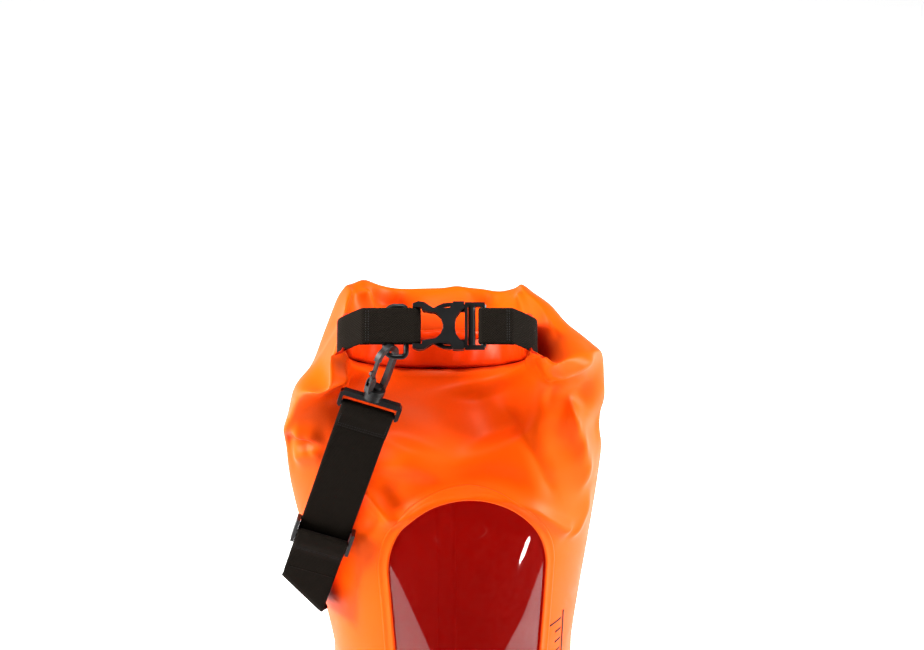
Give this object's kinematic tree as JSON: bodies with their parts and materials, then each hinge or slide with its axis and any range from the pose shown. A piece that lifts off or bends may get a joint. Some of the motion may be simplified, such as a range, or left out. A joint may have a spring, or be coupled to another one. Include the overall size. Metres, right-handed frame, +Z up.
{
  "type": "roll-top dry bag",
  "caption": "Cylindrical waterproof dry bag with a rolled mouth closed into a ring by a side-release buckle, a clear front window and an adjustable clip-on shoulder strap.",
  "frame": {"origin": "centre of the base panel's underside", "axes": "+Z up along the bag, -Y the front with the window and buckle, +X the viewer's right"},
  "size_m": [0.2436, 0.2138, 0.4467],
  "materials": {
    "coated_fabric": "satin PVC-coated polyester, soft sheen",
    "window_film": "clear glossy PVC film",
    "webbing": "woven polypropylene webbing",
    "black_plastic": "moulded acetal, slight sheen",
    "stiffener": "extruded polyethylene strip"
  },
  "bodies": {
    "bag": {"body_tube": "coated_fabric", "upper_body": "coated_fabric", "base_panel": "coated_fabric", "window_panel": "window_film", "back_seam_strip": "coated_fabric", "shoulder_strap_upper": "webbing", "strap_return_layer": "webbing", "shoulder_strap_lower": "webbing", "lower_hook_base": "black_plastic", "lower_ring_tab": "webbing", "lower_ring_patch": "coated_fabric"},
    "closure": {"mouth_roll": "coated_fabric", "mouth_stiffener": "stiffener", "mouth_webbing": "webbing", "buckle_strap_left": "webbing", "buckle_strap_right": "webbing", "buckle_female": "black_plastic", "top_hook_base": "black_plastic"},
    "buckle_male_half": {"buckle_male": "black_plastic"},
    "prong_upper": {"buckle_prong_upper": "black_plastic"},
    "prong_lower": {"buckle_prong_lower": "black_plastic"},
    "top_ring": {"top_d_ring": "black_plastic"},
    "top_hook": {"top_hook_body": "black_plastic"},
    "top_gate": {"top_hook_gate": "black_plastic"},
    "slider": {"strap_slider": "black_plastic"},
    "lower_ring": {"lower_d_ring": "black_plastic"},
    "lower_hook": {"lower_hook_body": "black_plastic"},
    "lower_gate": {"lower_hook_gate": "black_plastic"}
  },
  "joints": [
    {"name": "closure_tilt", "type": "hinge", "parent": "bag", "child": "closure", "pos_m": [-0.01, 0.01464, 0.35227], "axis": [-1, 0, 0], "range_deg": [-8, 10], "deforming": ["upper_body", "shoulder_strap_upper"]},
    {"name": "buckle_slide", "type": "slide", "parent": "closure", "child": "buckle_male_half", "axis": [1, 0, 0], "range_m": [0, 0.028], "deforming": ["buckle_strap_right", "buckle_prong_upper", "buckle_prong_lower"]},
    {"name": "prong_upper_squeeze", "type": "hinge", "parent": "buckle_male_half", "child": "prong_upper", "pos_m": [0.0064, -0.06514, 0.44057], "axis": [0, -0.8387, 0.5446], "range_deg": [0, 7]},
    {"name": "prong_lower_squeeze", "type": "hinge", "parent": "buckle_male_half", "child": "prong_lower", "pos_m": [0.0064, -0.07886, 0.41943], "axis": [0, -0.8387, 0.5446], "range_deg": [-7, 0]},
    {"name": "top_ring_swing", "type": "hinge", "parent": "closure", "child": "top_ring", "pos_m": [-0.0315, -0.072, 0.43], "axis": [0, 0.5446, 0.8387], "range_deg": [-5, 0], "deforming": ["buckle_strap_left"]},
    {"name": "top_hook_swivel", "type": "hinge", "parent": "closure", "child": "top_hook", "pos_m": [-0.05412, -0.08083, 0.38417], "axis": [0.3151, -0.061, 0.9471], "range_deg": [0, 20]},
    {"name": "top_gate_open", "type": "hinge", "parent": "top_hook", "child": "top_gate", "pos_m": [-0.05584, -0.08723, 0.39446], "axis": [-0.7145, 0.6416, 0.279], "range_deg": [0, 18]},
    {"name": "slider_travel", "type": "slide", "parent": "bag", "child": "slider", "axis": [-0.3151, 0.061, -0.9471], "range_m": [0, 0.02], "deforming": ["strap_return_layer"]},
    {"name": "lower_ring_swing", "type": "hinge", "parent": "bag", "child": "lower_ring", "pos_m": [0, 0.1025, 0.078], "axis": [1, 0, 0], "range_deg": [-8, 8]},
    {"name": "lower_hook_swivel", "type": "hinge", "parent": "bag", "child": "lower_hook", "pos_m": [-0.03894, 0.10023, 0.09865], "axis": [0.8466, 0.2508, -0.4695], "range_deg": [-20, 4]},
    {"name": "lower_gate_open", "type": "hinge", "parent": "lower_hook", "child": "lower_gate", "pos_m": [-0.03426, 0.10874, 0.0912], "axis": [-0.2801, -0.5402, -0.7936], "range_deg": [0, 18]}
  ],
  "couplings": [
    {"joint": "prong_lower_squeeze", "follows": "prong_upper_squeeze", "ratio": -1}
  ]
}
